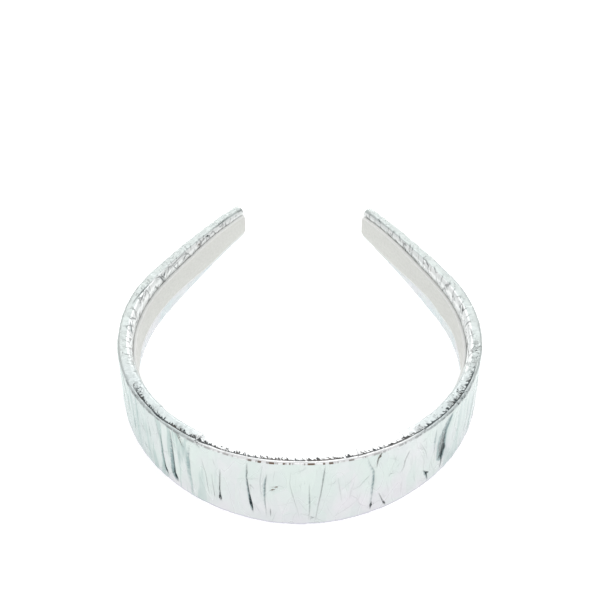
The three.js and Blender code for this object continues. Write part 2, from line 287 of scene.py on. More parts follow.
def value_noise(x, y, seed):
    """A smooth random field between -1 and 1 whose bumps are about 1 apart."""
    table = np.random.default_rng(seed).uniform(-1, 1, (NOISE_SIZE, NOISE_SIZE))
    column = np.floor(x).astype(int)
    row = np.floor(y).astype(int)
    u = smoothstep(x - column, 0, 1)
    v = smoothstep(y - row, 0, 1)

    def across(level):
        left = table[column % NOISE_SIZE, level % NOISE_SIZE]
        right = table[(column + 1) % NOISE_SIZE, level % NOISE_SIZE]
        return left * (1 - u) + right * u

    return across(row) * (1 - v) + across(row + 1) * v


def facets(x, y, seed):
    """Cells round jittered points about 1 apart: each place's cell values and its way from the point."""
    rng = np.random.default_rng(seed)
    jitter = rng.uniform(0.05, 0.95, (NOISE_SIZE, NOISE_SIZE, 2))
    values = rng.uniform(-1, 1, (NOISE_SIZE, NOISE_SIZE, 3))
    best = np.full(x.shape, FAR)
    way = np.zeros(x.shape + (2,))
    value = np.zeros(x.shape + (3,))
    for step_x in (-1, 0, 1):
        for step_y in (-1, 0, 1):
            column = np.floor(x).astype(int) + step_x
            row = np.floor(y).astype(int) + step_y
            point = jitter[column % NOISE_SIZE, row % NOISE_SIZE]
            off_x = x - column - point[..., 0]
            off_y = y - row - point[..., 1]
            distance = np.hypot(off_x, off_y)
            closer = distance < best
            best = np.where(closer, distance, best)
            way[closer] = np.stack([off_x, off_y], axis=-1)[closer]
            value[closer] = values[column % NOISE_SIZE, row % NOISE_SIZE][closer]
    return value, way


class Sheet:
    """The cover unrolled: for each vertex its place on the sheet and what the creases do to it."""

    def __init__(self, along, across, past_top, past_bottom):
        self.along = along
        self.across = across
        self.past_top = past_top
        self.past_bottom = past_bottom
        self.off = np.full_like(along, FAR)
        self.push, self.tint, self.score, self.wide, self.dark, self.warm = np.zeros((6, *along.shape))

    def lay(self, points, row, across):
        """Presses one crease into the sheet, along points of (length along, distance across).

        Of each vertex's creases the strongest gives its signed distance from the line, so that the material
        can paint the creases' shade as lines that are thinner than the mesh.
        """
        reach = 4 * row.width + 1.5
        lengths = [point[0] for point in points]
        in_reach = (self.along[:, 0] > min(lengths) - reach) & (self.along[:, 0] < max(lengths) + reach)
        columns = np.where(in_reach)[0]
        if len(columns) == 0:
            return
        part = slice(columns[0], columns[-1] + 1)
        x = self.along[part]
        y = across[part]
        nearest = np.full(x.shape, FAR)
        place = np.zeros(x.shape)
        side = np.ones(x.shape)
        runs = [math.dist(start, end) for start, end in zip(points, points[1:])]
        done = 0.0
        for start, end, run in zip(points, points[1:], runs):
            way_x = (end[0] - start[0]) / run
            way_y = (end[1] - start[1]) / run
            on_line = np.clip((x - start[0]) * way_x + (y - start[1]) * way_y, 0, run)
            off_x = x - start[0] - on_line * way_x
            off_y = y - start[1] - on_line * way_y
            distance = np.hypot(off_x, off_y)
            closer = distance < nearest
            nearest = np.where(closer, distance, nearest)
            place = np.where(closer, (done + on_line) / sum(runs), place)
            side = np.where(closer, np.where(way_x * off_y - way_y * off_x < 0, -1, 1), side)
            done += run
        from_peak = np.abs(place - row.peak) / max(row.peak, 1 - row.peak)
        ends = smoothstep(place, -0.02, 0.12) * smoothstep(1 - place, -0.02, 0.08)
        strength = (1 - 0.65 * from_peak) * ends
        width = row.width * (0.45 + 0.55 * strength)
        groove = np.exp(-(nearest / (0.6 * width))**2)
        lip = np.exp(-((nearest - 1.7 * width) / width)**2) * (side * row.shade < 0)
        self.push[part] += row.depth * strength * (LIP_SHARE * lip - GROOVE_SHARE * groove)
        # Painted blue-grey shade beside the crease, wider on its shaded side
        shaded = width * np.where(side * row.shade > 0, SHADED_SIDE, OTHER_SIDE)
        tint = row.tint * strength * np.exp(-(nearest / shaded)**4)
        self.tint[part] = np.maximum(self.tint[part], tint)
        # The crease's line of painted shade, and how much of it is painted brown reflection
        dark = row.dark * strength * (1 - smoothstep(nearest, LINE_REACH, 1.6 * LINE_REACH))
        score = dark * np.exp(-(nearest / LINE_REACH)**2)
        wins = score > self.score[part]
        at_peak = smoothstep(place, row.peak - 0.18, row.peak)
        at_peak = at_peak * smoothstep(row.peak + 0.09 - place, 0, 0.08)
        wide = LINE_WIDTH * (0.6 + 0.5 * min(1, row.dark)) + row.wedge * at_peak
        new_values = (score, side * nearest, wide, dark, row.warm * strength)
        for values, new in zip((self.score, self.off, self.wide, self.dark, self.warm), new_values):
            values[part] = np.where(wins, new, values[part])


def cover_profile(along):
    """Outline of the wall at each station, as one array per value, with a column for each row of points."""
    share = np.abs(along) / HALF_LENGTH
    to_tip = HALF_LENGTH - np.abs(along)
    half = thickness_at(share) / 2 - round_end(to_tip, TIP_EDGE)
    corner = round_end(to_tip, TIP_CORNER)
    low = rise_at(share) + corner
    high = rise_at(share) + height_at(share) - corner
    fit = np.minimum(1, 1.6 * half / (OUTER_EDGE + INNER_EDGE))
    outer = fit * OUTER_EDGE
    inner = fit * INNER_EDGE
    columns = []

    def add(offset, height, angle, past_top, past_bottom):
        """A row of points with its outward direction as an angle from level."""
        way = math.radians(angle)
        way_out = np.full_like(offset, math.cos(way))
        way_up = np.full_like(offset, math.sin(way))
        columns.append([offset, height, way_out, way_up, past_top, past_bottom])

    quarter = 0.5 * math.pi
    for step in range(4):
        angle = -90 + 90 * step / 4
        turn = math.radians(angle)
        bottom = outer * (-turn)
        add(half - outer + outer * math.cos(turn), low + outer + outer * math.sin(turn), angle,
            low - high, bottom)
    for row in range(FACE_ROWS + 1):
        height = low + outer + (high - low - 2 * outer) * row / FACE_ROWS
        add(half, height, 0, height - high + outer, low + outer - height)
    for step in range(1, 5):
        angle = 90 * step / 4
        turn = math.radians(angle)
        add(half - outer + outer * math.cos(turn), high - outer + outer * math.sin(turn), angle,
            outer * turn, low - high)
    flat = 2 * half - outer - inner
    for step in range(1, 5):
        add(half - outer - flat * step / 4, high, 90, outer * quarter + flat * step / 4, low - high)
    for step in range(1, 6):
        angle = 90 + 90 * step / 5
        turn = math.radians(angle)
        add(inner - half + inner * math.cos(turn), high - inner + inner * math.sin(turn), angle,
            outer * quarter + flat + inner * (turn - quarter), low - high)
    inner_end = outer * quarter + flat + inner * quarter
    wall = high - low - 2 * inner
    under = np.minimum(UPPER_MARGIN, 0.4 * wall)
    for step in range(1, 7):
        add(-half, high - inner - under * step / 6, 180, inner_end + under * step / 6, low - high)
    under = np.minimum(LOWER_MARGIN, 0.45 * wall)
    for step in range(0, 8):
        down = under * (1 - step / 8)
        add(-half, low + inner + down, 180, low - high, inner_end + down)
    for step in range(0, 5):
        angle = 180 + 90 * step / 5
        turn = math.radians(angle)
        add(inner - half + inner * math.cos(turn), low + inner + inner * math.sin(turn), angle,
            low - high, outer * quarter + flat + inner * (3 * quarter - turn))
    for step in range(0, 3):
        add(inner - half + flat * step / 3, low, 270, low - high, outer * quarter + flat * (1 - step / 3))
    return [np.stack([column[value] for column in columns], axis=1) for value in range(6)]


def stations_between(start, end, step):
    return np.linspace(start, end, math.ceil((end - start) / step), endpoint=False)


def tip_stations(end, corner):
    """Lengths round a tip's corner, the outermost first."""
    turns = 0.5 * math.pi * np.arange(TIP_STATIONS) / TIP_STATIONS
    return end - corner * (1 - np.cos(turns))


def cover_stations():
    """Lengths along the band of the cover's stations, closer together on the crown and round the tips."""
    inner = HALF_LENGTH - TIP_CORNER
    dense = DENSE_SHARE * HALF_LENGTH
    tip = tip_stations(HALF_LENGTH, TIP_CORNER)
    parts = [-tip, stations_between(-inner, -dense, LEG_STEP), stations_between(-dense, dense, DENSE_STEP),
             stations_between(dense, inner, LEG_STEP), [inner], tip[::-1]]
    return np.concatenate(parts)


def jagged_path(rng, start, heading, length, steps, bend):
    """A path from start that turns a little at each step."""
    points = [start]
    for _ in range(steps):
        heading += rng.uniform(-bend, bend)
        step = length / steps * rng.uniform(0.7, 1.3)
        points.append((points[-1][0] + step * math.sin(heading), points[-1][1] - step * math.cos(heading)))
    return points


def add_crown_creases(sheet):
    for values in CROWN_CREASES:
        row = Crease(*values)
        points = []
        for thousandths, hundredths in row.path:
            share = thousandths / 1000
            half_height = height_at(abs(share)) / 2
            points.append((share * HALF_LENGTH, hundredths / 100 * half_height))
        sheet.lay(points, row, sheet.across)


def add_leg_creases(sheet, rng):
    """Pleats on the outer face of the legs, which lean to and fro as the ones on the crown do."""
    for side in (-1, 1):
        along = 0.43 * HALF_LENGTH
        while along < 0.965 * HALF_LENGTH:
            half_height = height_at(along / HALF_LENGTH) / 2
            top = rng.uniform(0.2, 1.05) * half_height
            length = rng.uniform(0.6, 1.0) * (top + half_height)
            path = jagged_path(rng, (side * along, top), rng.uniform(-0.25, 0.25), length, 4, 0.15)
            row = Crease(path, rng.uniform(0.35, 1.1), rng.uniform(0.2, 0.65), rng.uniform(0.15, 0.9),
                         rng.uniform(0.2, 0.9), 0.0, rng.uniform(0.1, 0.95), rng.choice([0, 0, 0.25]))
            sheet.lay(path, row, sheet.across)
            along += rng.uniform(2.5, 6.5)


def add_small_creases(sheet, rng):
    """Faint short creases all over the outer face, mostly upright."""
    for _ in range(SMALL_CREASES):
        along = rng.uniform(-0.97, 0.97) * HALF_LENGTH
        half_height = height_at(abs(along) / HALF_LENGTH) / 2
        start = (along, rng.uniform(-0.7, 1.0) * half_height)
        heading = rng.normal(0, 0.35) if rng.random() < 0.7 else rng.uniform(-1.5, 1.5)
        path = jagged_path(rng, start, heading, rng.uniform(2, 14), 5, 0.22)
        row = Crease(path, rng.uniform(0.2, 0.45), rng.uniform(0.02, 0.08), rng.uniform(0.05, 0.32), 0.1)
        sheet.lay(path, row, sheet.across)


def gather_at(share):
    """How tightly the cover is gathered over the top rim."""
    strength = np.full_like(share, 0.12)
    for centre, spread, peak in RIM_GATHERS:
        strength = np.maximum(strength, peak * np.exp(-((share - centre) / spread)**2))
    return strength


def add_rim_lines(sheet):
    """The long lines along the top rim, and the creases across it on the legs."""
    for first, last, past, dark, warm in RIM_LINES:
        path = [(first * HALF_LENGTH, past), (last * HALF_LENGTH, past)]
        sheet.lay(path, Crease(path, 0.3, 0.1, dark, 0.1, warm), sheet.past_top)
    for values in LEG_MARKS:
        row = Crease(*values)
        points = [(thousandths / 1000 * HALF_LENGTH, past) for thousandths, past in row.path]
        sheet.lay(points, row, sheet.past_top)


def add_rim_pleats(sheet, rng):
    """Short pleats across the rims, where the cover turns over the edge."""
    for across, count, dark in ((sheet.past_top, 420, 1.0), (sheet.past_bottom, 60, 0.2)):
        for _ in range(count):
            share = rng.uniform(-0.985, 0.985)
            gather = float(gather_at(np.array([share]))[0])
            if rng.random() > 0.1 + 0.9 * gather:
                continue
            start = (share * HALF_LENGTH, rng.uniform(1.7, 2.4))
            path = jagged_path(rng, start, math.pi + rng.normal(0.4, 0.5), rng.uniform(0.6, 2.0), 3, 0.6)
            row = Crease(path, rng.uniform(0.15, 0.35), rng.uniform(0.06, 0.2) * (0.5 + gather),
                         dark * rng.uniform(0.3, 1.1) * (0.35 + 0.65 * gather), 0.1, rng.uniform(0, 0.3))
            sheet.lay(path, row, across)


def add_margin_creases(sheet, rng):
    """Slanting pleats where the cover is turned in behind the rims and meets the lining."""
    for across, dark in ((sheet.past_top, 1.0), (sheet.past_bottom, 0.6)):
        for side in (-1, 1):
            along = 0.03 * HALF_LENGTH
            while along < 0.97 * HALF_LENGTH:
                inward = 2.4 if along < 0.4 * HALF_LENGTH else 0.0
                start = (side * along, inward + rng.uniform(3.8, 5.2))
                slant = side * rng.uniform(0.2, 0.9)
                path = jagged_path(rng, start, math.pi + slant, rng.uniform(2.5, 7.0), 3, 0.25)
                row = Crease(path, rng.uniform(0.25, 0.5), rng.uniform(0.08, 0.22),
                             dark * rng.uniform(0.05, 0.35), 0.2, rng.uniform(0, 0.3),
                             rng.uniform(0.3, 0.9), 0, side)
                sheet.lay(path, row, across)
                along += rng.uniform(3.0, 7.0)


def new_object(name, points, faces):
    mesh = bpy.data.meshes.new(name)
    mesh.from_pydata(points.reshape(-1, 3).tolist(), [], faces)
    mesh.update()
    mesh.polygons.foreach_set("use_smooth", np.ones(len(mesh.polygons), dtype=bool))
    obj = bpy.data.objects.new(name, mesh)
    bpy.context.scene.collection.objects.link(obj)
    return obj


def ring_faces(rings, size):
    """Quads of a tube of rings, with a flat many-sided face on each end."""
    faces = []
    for ring in range(rings - 1):
        for index in range(size):
            here = ring * size + index
            beside = ring * size + (index + 1) % size
            faces.append((here, here + size, beside + size, beside))
    faces.append(tuple(range(size)))
    faces.append(tuple(reversed(range((rings - 1) * size, rings * size))))
    return faces


def set_number(obj, name, values):
    attribute = obj.data.attributes.new(name, "FLOAT", "POINT")
    attribute.data.foreach_set("value", values.astype(np.float32).ravel())


def set_place(obj, name, x, y):
    attribute = obj.data.attributes.new(name, "FLOAT_VECTOR", "POINT")
    points = np.stack([x, y, np.zeros_like(x)], axis=-1).astype(np.float32)
    attribute.data.foreach_set("vector", points.ravel())


def lining_margins(along):
    """How far below the top rim and above the lower one the lining's edges are, at lengths along the band."""
    share = np.abs(along) / HALF_LENGTH
    narrowing = smoothstep(share, *LINING_NARROWING)
    corner = round_end(HALF_LENGTH - LINING_SETBACK - np.abs(along), LINING_CORNER)
    top = LINING_TOP_MARGIN + (LINING_TIP_TOP_MARGIN - LINING_TOP_MARGIN) * narrowing
    bottom = LINING_BOTTOM_MARGIN + (LINING_TIP_BOTTOM_MARGIN - LINING_BOTTOM_MARGIN) * narrowing
    line = np.zeros_like(along)
    top_wander = 0.25 * value_noise(along / 11, line, SEED + 30)
    top_wander += 0.06 * value_noise(along / 1.8, line, SEED + 31)
    on_leg = smoothstep(share, 0.35, 0.55) * (1 - smoothstep(share, 0.7, 0.95))
    bottom_wander = (0.5 + 0.5 * on_leg) * value_noise(along / 11, line, SEED + 32)
    return top + corner + top_wander, bottom + corner + LINING_LEG_MARGIN * on_leg + bottom_wander


def cover_push(sheet, share, cell, way):
    """How far each vertex stands out from the plain wall: creases, facets, swells and crumples."""
    along, across = sheet.along, sheet.across
    tilt = 0.16 * (cell[..., 0] * way[..., 0] + cell[..., 1] * way[..., 1])
    swell = 0.14 * value_noise(along / 6, across / 16, SEED + 9) - 0.1
    swell = swell * smoothstep(-sheet.past_bottom, -0.5, 4)
    coarse = value_noise(along / 1.6, across / 2.4, SEED + 10)
    fine = value_noise(along / 0.8, across, SEED + 11)
    past = np.maximum(sheet.past_top, sheet.past_bottom)
    off_face = smoothstep(past, -1, 1)
    crumple = (0.05 * coarse + 0.03 * fine) * (0.03 + off_face * (0.2 + 1.5 * gather_at(share)))
    push = sheet.push + tilt + swell + crumple
    behind_lining = smoothstep(past, 10, 12)
    push = np.minimum(push, 0.25) * (1 - behind_lining)
    calm = smoothstep(HALF_LENGTH - np.abs(along), 0, 1.5)
    return push * (0.3 + 0.7 * calm)


def make_cover():
    stations = cover_stations()
    offset, height, way_out, way_up, past_top, past_bottom = cover_profile(stations)
    along = np.repeat(stations[:, None], offset.shape[1], axis=1)
    share = along / HALF_LENGTH
    half_height = height_at(np.abs(share)) / 2
    below = -half_height - past_bottom + 0.5 * OUTER_EDGE
    above = half_height + past_top - 0.5 * OUTER_EDGE
    on_face = height - rise_at(np.abs(share)) - half_height
    across = np.where(past_bottom > 0, below, np.where(past_top > 0, above, on_face))
    sheet = Sheet(along, across, past_top, past_bottom)
    rng = np.random.default_rng(SEED)
    add_crown_creases(sheet)
    add_rim_lines(sheet)
    add_leg_creases(sheet, rng)
    add_small_creases(sheet, rng)
    add_rim_pleats(sheet, rng)
    add_margin_creases(sheet, rng)

    bend = 0.25 * value_noise(along / 5, across / 9, SEED + 7)
    cell, way = facets(along / 4.5 + bend, across / 13, SEED + 8)
    push = cover_push(sheet, share, cell, way)
    points = in_row_frame(along, offset + push * way_out, np.maximum(height + push * way_up, 0))
    cover = new_object("foil_cover", points, ring_faces(*offset.shape))

    low_share = smoothstep(-across / half_height, -0.1, 0.9)
    patch = value_noise(along / 9, across / 8, SEED + 12)
    lavender = 0.3 + 0.42 * patch + 0.25 * cell[..., 2] + 0.32 * low_share
    over_rim = 0.5 * math.pi * (OUTER_EDGE + INNER_EDGE) + thickness_at(np.abs(stations) / HALF_LENGTH)
    seam = over_rim - OUTER_EDGE - 2 * INNER_EDGE + lining_margins(stations)[0]
    # Masks for the material, most of them of painted light and shade on creases, folds, sides and rims
    numbers = {
        "crease_off": sheet.off,
        "crease_wide": sheet.wide,
        "crease_dark": sheet.dark,
        "crease_warm": sheet.warm,
        "tint": sheet.tint,
        "lavender": np.clip(lavender, 0, 1),
        "shade": cell[..., 0],
        "gather": gather_at(share),
        "centre": np.exp(-(share / 0.14)**2),
        "leg": smoothstep(np.abs(share), 0.38, 0.5),
        "streak_shade": smoothstep(-share, 0.12, 0.24) + 0.7 * smoothstep(share, 0.26, 0.34),
        "side_rim_shade": smoothstep(-share, 0.14, 0.24) + smoothstep(share, 0.17, 0.29),
        "serrated": smoothstep(share, -0.4, -0.35) * smoothstep(-share, -0.5, -0.42),
        "side_teal_shade": smoothstep(-share, 0.24, 0.4) + 0.6 * smoothstep(share, 0.26, 0.42),
        "past_top": past_top,
        "past_bottom": past_bottom,
        "seam": past_top - seam[:, None],
    }
    for name, values in numbers.items():
        set_number(cover, name, values)
    leg_along = np.where(along < 0, -along, along + 2 * HALF_LENGTH)
    set_place(cover, "sheet", along * MM, across * MM)
    set_place(cover, "rim_sheet", along * MM, past_top * MM)
    set_place(cover, "leg_sheet", leg_along * MM, past_top * MM)
    cover.data.materials.append(pearl_leather())
    return cover


def make_lining():
    """The lining strip: a flat ribbon with eased, slightly uneven edges."""
    end = HALF_LENGTH - LINING_SETBACK
    inner = end - LINING_CORNER
    tip = tip_stations(end, LINING_CORNER)
    stations = np.concatenate([-tip, stations_between(-inner, inner, LINING_STEP), [inner], tip[::-1]])
    share = np.abs(stations) / HALF_LENGTH
    top_margin, bottom_margin = lining_margins(stations)
    low = rise_at(share) + bottom_margin
    high = rise_at(share) + height_at(share) - top_margin
    back = -thickness_at(share) / 2 - LINING_CLEARANCE
    front = back - LINING_THICKNESS
    columns = []

    def add(offset, height, edge):
        columns.append((offset, height, np.full_like(height, edge)))

    add(back, low, 1.0)
    add(back, high, 1.0)
    for step in range(5):
        turn = math.radians(90 * step / 4)
        add(front + LINING_EDGE * (1 - math.sin(turn)), high - LINING_EDGE * (1 - math.cos(turn)), 1.0)
    add(front, high - LINING_PALE_EDGE, 0.7)
    for row in range(LINING_ROWS + 1):
        inset = LINING_PALE_EDGE + 0.2
        add(front, high - inset - (high - low - 2 * inset) * row / LINING_ROWS, 0.0)
    add(front, low + LINING_PALE_EDGE, 0.7)
    for step in range(5):
        turn = math.radians(90 * step / 4)
        add(front + LINING_EDGE * (1 - math.cos(turn)), low + LINING_EDGE * (1 - math.sin(turn)), 1.0)
    offset, height, edge = (np.stack([column[value] for column in columns], axis=1) for value in range(3))
    along = np.repeat(stations[:, None], offset.shape[1], axis=1)
    fine = value_noise(along / 1.1, height / 1.1, SEED + 33)
    coarse = value_noise(along / 12, height / 9, SEED + 34)
    in_front = offset < back[:, None] - 0.5 * LINING_THICKNESS
    offset = offset + np.where(edge > 0.5, 0.4, 1.0) * (0.03 * fine + 0.06 * coarse) * in_front
    lining = new_object("lining_felt", in_row_frame(along, offset, height), ring_faces(*offset.shape))
    set_number(lining, "edge", edge)
    set_place(lining, "sheet", along * MM, height * MM)
    lining.data.materials.append(grey_weave())
    area = float(np.trapz(high - low, stations)) * MM**2
    return lining, area


class Nodes:
    """Short calls for building a material's node tree."""

    def __init__(self, name):
        self.material = bpy.data.materials.new(name)
        self.material.use_nodes = True
        self.tree = self.material.node_tree
        self.tree.nodes.clear()
        self.shader = self.add("ShaderNodeBsdfPrincipled")
        output = self.add("ShaderNodeOutputMaterial")
        self.tree.links.new(self.shader.outputs["BSDF"], output.inputs["Surface"])

    def add(self, kind, **settings):
        node = self.tree.nodes.new(kind)
        for key, value in settings.items():
            setattr(node, key, value)
        return node

    def link(self, output, socket):
        self.tree.links.new(output, socket)

    def number(self, name):
        return self.add("ShaderNodeAttribute", attribute_name=name).outputs["Fac"]

    def place(self, name):
        return self.add("ShaderNodeAttribute", attribute_name=name).outputs["Vector"]

    def math(self, operation, first, second, clamp=False):
        node = self.add("ShaderNodeMath", operation=operation, use_clamp=clamp)
        for socket, value in zip(node.inputs, (first, second)):
            if isinstance(value, (int, float)):
                socket.default_value = value
            else:
                self.link(value, socket)
        return node.outputs["Value"]

    def spread(self, value, low, high, to_low=0.0, to_high=1.0):
        node = self.add("ShaderNodeMapRange", interpolation_type="SMOOTHSTEP")
        self.link(value, node.inputs["Value"])
        for key, number in (("From Min", low), ("From Max", high), ("To Min", to_low), ("To Max", to_high)):
            node.inputs[key].default_value = number
        return node.outputs["Result"]

    def band(self, value, low, high, soft):
        """1 where the value is between low and high, fading out over soft beyond them."""
        rising = self.spread(value, low - soft, low)
        falling = self.spread(value, high, high + soft, 1.0, 0.0)
        return self.math("MULTIPLY", rising, falling)

    def product(self, *values):
        result = values[0]
        for value in values[1:]:
            result = self.math("MULTIPLY", result, value)
        return result

    def larger(self, *values):
        result = values[0]
        for value in values[1:]:
            result = self.math("MAXIMUM", result, value)
        return result

    def noise(self, place, scale, detail):
        node = self.add("ShaderNodeTexNoise")
        self.link(place, node.inputs["Vector"])
        node.inputs["Scale"].default_value = scale
        node.inputs["Detail"].default_value = detail
        node.inputs["Roughness"].default_value = 0.55
        return node.outputs["Fac"]

    def cells(self, place, scale, feature):
        node = self.add("ShaderNodeTexVoronoi", feature=feature)
        self.link(place, node.inputs["Vector"])
        node.inputs["Scale"].default_value = scale
        return node

    def warped(self, place, scale, reach):
        """The place moved about by up to reach metres."""
        noise = self.add("ShaderNodeTexNoise")
        self.link(place, noise.inputs["Vector"])
        noise.inputs["Scale"].default_value = scale
        moved = self.add("ShaderNodeVectorMath", operation="MULTIPLY_ADD")
        self.link(noise.outputs["Color"], moved.inputs[0])
        moved.inputs[1].default_value = (reach, reach, 0)
        self.link(place, moved.inputs[2])
        return moved.outputs["Vector"]

    def stretched(self, place, scale):
        node = self.add("ShaderNodeMapping")
        self.link(place, node.inputs["Vector"])
        node.inputs["Scale"].default_value = scale
        return node.outputs["Vector"]

    def sheared(self, place, slant):
        """The place with its first value moved by slant times its second one."""
        parts = self.add("ShaderNodeSeparateXYZ")
        self.link(place, parts.inputs["Vector"])
        joined = self.add("ShaderNodeCombineXYZ")
        shift = self.math("MULTIPLY", parts.outputs["Y"], slant)
        self.link(self.math("ADD", parts.outputs["X"], shift), joined.inputs["X"])
        self.link(parts.outputs["Y"], joined.inputs["Y"])
        return joined.outputs["Vector"]

    def mix(self, share, first, second):
        node = self.add("ShaderNodeMix", data_type="RGBA")
        if isinstance(share, (int, float)):
            node.inputs[0].default_value = share
        else:
            self.link(share, node.inputs[0])
        for socket, value in ((node.inputs[6], first), (node.inputs[7], second)):
            if isinstance(value, tuple):
                socket.default_value = (*value, 1.0)
            else:
                self.link(value, socket)
        return node.outputs[2]

    def bump(self, height, strength, distance):
        node = self.add("ShaderNodeBump")
        node.inputs["Strength"].default_value = strength
        node.inputs["Distance"].default_value = distance
        self.link(height, node.inputs["Height"])
        return node.outputs["Normal"]


# Colours of the leather. MINT and LAVENDER are its own; most others are painted light and shade: greyer
# facets, teal shade on the sides and in streaks, blue-grey shade in folds, dark lines of shade in creases and
# crinkles, dark and brown painted reflections by the rim's edge, the crown's rim painted white where lit and
# grey to the sides and on the legs, the margin inside the legs painted bright and lilac-grey shade on the
# bottom rim. The glue colour also carries a painted contact shadow.
MINT = (0.735, 0.825, 0.79)
LAVENDER = (0.80, 0.79, 0.825)
FACET_SHADE = (0.62, 0.69, 0.69)
SIDE_TEAL_SHADE = (0.43, 0.56, 0.54)
STREAK_TEAL_SHADE = (0.40, 0.54, 0.52)
FOLD_SHADE_BLUE = (0.21, 0.32, 0.33)
DARK_LINE = (0.02, 0.03, 0.035)
WARM_REFLECTION = (0.13, 0.06, 0.018)
GLUE_AND_SHADOW = (0.16, 0.12, 0.08)
BRIGHT_RIM = (0.97, 0.975, 0.98)
SIDE_RIM_SHADE = (0.56, 0.62, 0.62)
LEG_RIM = (0.54, 0.59, 0.575)
LEG_MARGIN = (0.96, 0.98, 0.975)
LOW_RIM = (0.62, 0.61, 0.69)
LOW_MARGIN = (0.68, 0.77, 0.79)

# Zones of the leather, in millimetres past the top edge of the outer face
FACE_END = (0.0, 0.4)
RIM_START = (0.1, 0.5)
DASHES = (0.25, 0.9)
SPECKS = (0.6, 4.4)
STROKES_START = (1.75, 1.9)
RIM_LINE = (1.9, 2.2)
FACETS_START = (2.4, 4.2)
MARGIN_START = (3.9, 4.4)

# Zones in millimetres past the bottom edge of the outer face, and past the lining's edge
LOW_RIM_ZONE = (-0.45, 1.3)
LOW_MARGIN_START = (4.0, 5.5)
GLUE_AND_SHADOW_ZONE = (0.0, 0.12)

# How many waves or cells of each pattern there are to the metre
COLOUR_DRIFT = 90
GLOSS_DRIFT = 110
LOW_PATCHES = 160
SPECK_CLUSTERS = 260
LEG_FACETS = 270
DASH_LENGTHS = 300
STREAKS = 330
FACET_BREAKS = 420
RIM_BREAKS = 450
GLUE_AND_SHADOW_BREAKS = 500
CRINKLES = 620
FOLD_MOTTLE = 800
STROKE_ENDS = 900
SPECK_CELLS = 1000
SPECK_BREAKS = 1300
STROKES = 1500


def crease_line(nodes):
    """How dark the painted shade of the strongest nearby crease is here, with a crisp edge, and how far off
    its line is.
    """
    distance = nodes.math("ABSOLUTE", nodes.number("crease_off"), 0.0)
    inside = nodes.math("SUBTRACT", nodes.number("crease_wide"), distance)
    line = nodes.spread(inside, -0.07, 0.07)
    mottle = nodes.spread(nodes.noise(nodes.place("sheet"), STROKES, 2), 0.36, 0.5, 0.55, 1.0)
    return nodes.product(line, nodes.number("crease_dark"), mottle), distance


def rim_marks(nodes, past_top, gather):
    """Painted shade in the crinkles along the sharp edge of the top rim, and painted dark and brown
    reflections just below that edge.
    """
    place = nodes.place("rim_sheet")
    slanted = nodes.sheared(place, 0.6)
    ends = nodes.noise(nodes.stretched(slanted, (1, 0.05, 1)), STROKE_ENDS, 2)
    reach = nodes.spread(ends, 0.35, 0.65, 2.2, 3.5)
    within_reach = nodes.spread(nodes.math("SUBTRACT", reach, past_top), 0.0, 0.25)
    strokes = nodes.spread(nodes.noise(nodes.stretched(slanted, (1, 0.4, 1)), STROKES, 2), 0.44, 0.5)
    serrated = nodes.product(nodes.spread(past_top, *STROKES_START), within_reach, strokes)
    breaks = nodes.spread(nodes.noise(place, RIM_BREAKS, 3), 0.42, 0.46)
    rim_line = nodes.product(nodes.band(past_top, *RIM_LINE, 0.12), breaks)
    edges = nodes.cells(nodes.warped(place, 900, 0.0012), SPECK_CELLS, "DISTANCE_TO_EDGE")
    speck_shade = nodes.spread(edges.outputs["Distance"], 0.06, 0.13, 1.0, 0.0)
    broken = nodes.spread(nodes.noise(place, SPECK_BREAKS, 2), 0.47, 0.54)
    clusters = nodes.noise(nodes.stretched(place, (1, 0.6, 1)), SPECK_CLUSTERS, 2)
    cluster = nodes.product(nodes.spread(clusters, 0.47, 0.56), nodes.spread(gather, 0.3, 0.9))
    specks = nodes.product(speck_shade, broken, cluster, nodes.band(past_top, *SPECKS, 0.8))
    along_rim = nodes.product(nodes.larger(serrated, rim_line), nodes.number("serrated"))
    dashes = nodes.spread(nodes.noise(nodes.stretched(place, (1, 0.1, 1)), DASH_LENGTHS, 3), 0.48, 0.54)
    below = nodes.product(nodes.band(past_top, *DASHES, 0.12), dashes)
    return nodes.larger(along_rim, specks), below


def leg_facets(nodes, zone):
    """Painted shade of the angular crumples in the margin turned in over a leg: darker facets, broken dark
    lines.
    """
    place = nodes.place("leg_sheet")
    slanted = nodes.stretched(nodes.sheared(place, 0.7), (1.0, 0.5, 1.0))
    moved = nodes.warped(slanted, 300, 0.0012)
    tone = nodes.add("ShaderNodeSeparateColor")
    nodes.link(nodes.cells(moved, LEG_FACETS, "F1").outputs["Color"], tone.inputs["Color"])
    edge = nodes.cells(moved, LEG_FACETS, "DISTANCE_TO_EDGE").outputs["Distance"]
    line = nodes.spread(edge, 0.03, 0.06, 1.0, 0.0)
    broken = nodes.spread(nodes.noise(place, FACET_BREAKS, 2), 0.44, 0.5, 0.0, 0.6)
    shade = nodes.spread(tone.outputs["Green"], 0.3, 1.0, 0.0, 0.22)
    return nodes.product(shade, zone), nodes.product(line, broken, zone)


def face_colour(nodes, upright, on_face):
    """Mint to lavender in drifts, with painted shade: greyer on some facets and teal towards the sides."""
    drift = nodes.spread(nodes.noise(upright, COLOUR_DRIFT, 2), 0.3, 0.7, -0.25, 0.25)
    lavender = nodes.math("ADD", nodes.number("lavender"), drift, clamp=True)
    base = nodes.mix(lavender, MINT, LAVENDER)
    # Painted shade: greyer on some facets
    grey = nodes.spread(nodes.number("shade"), -1.0, 1.0, 0.0, 0.22)
    base = nodes.mix(grey, base, FACET_SHADE)
    return nodes.mix(nodes.product(nodes.number("side_teal_shade"), on_face, 0.75), base, SIDE_TEAL_SHADE)


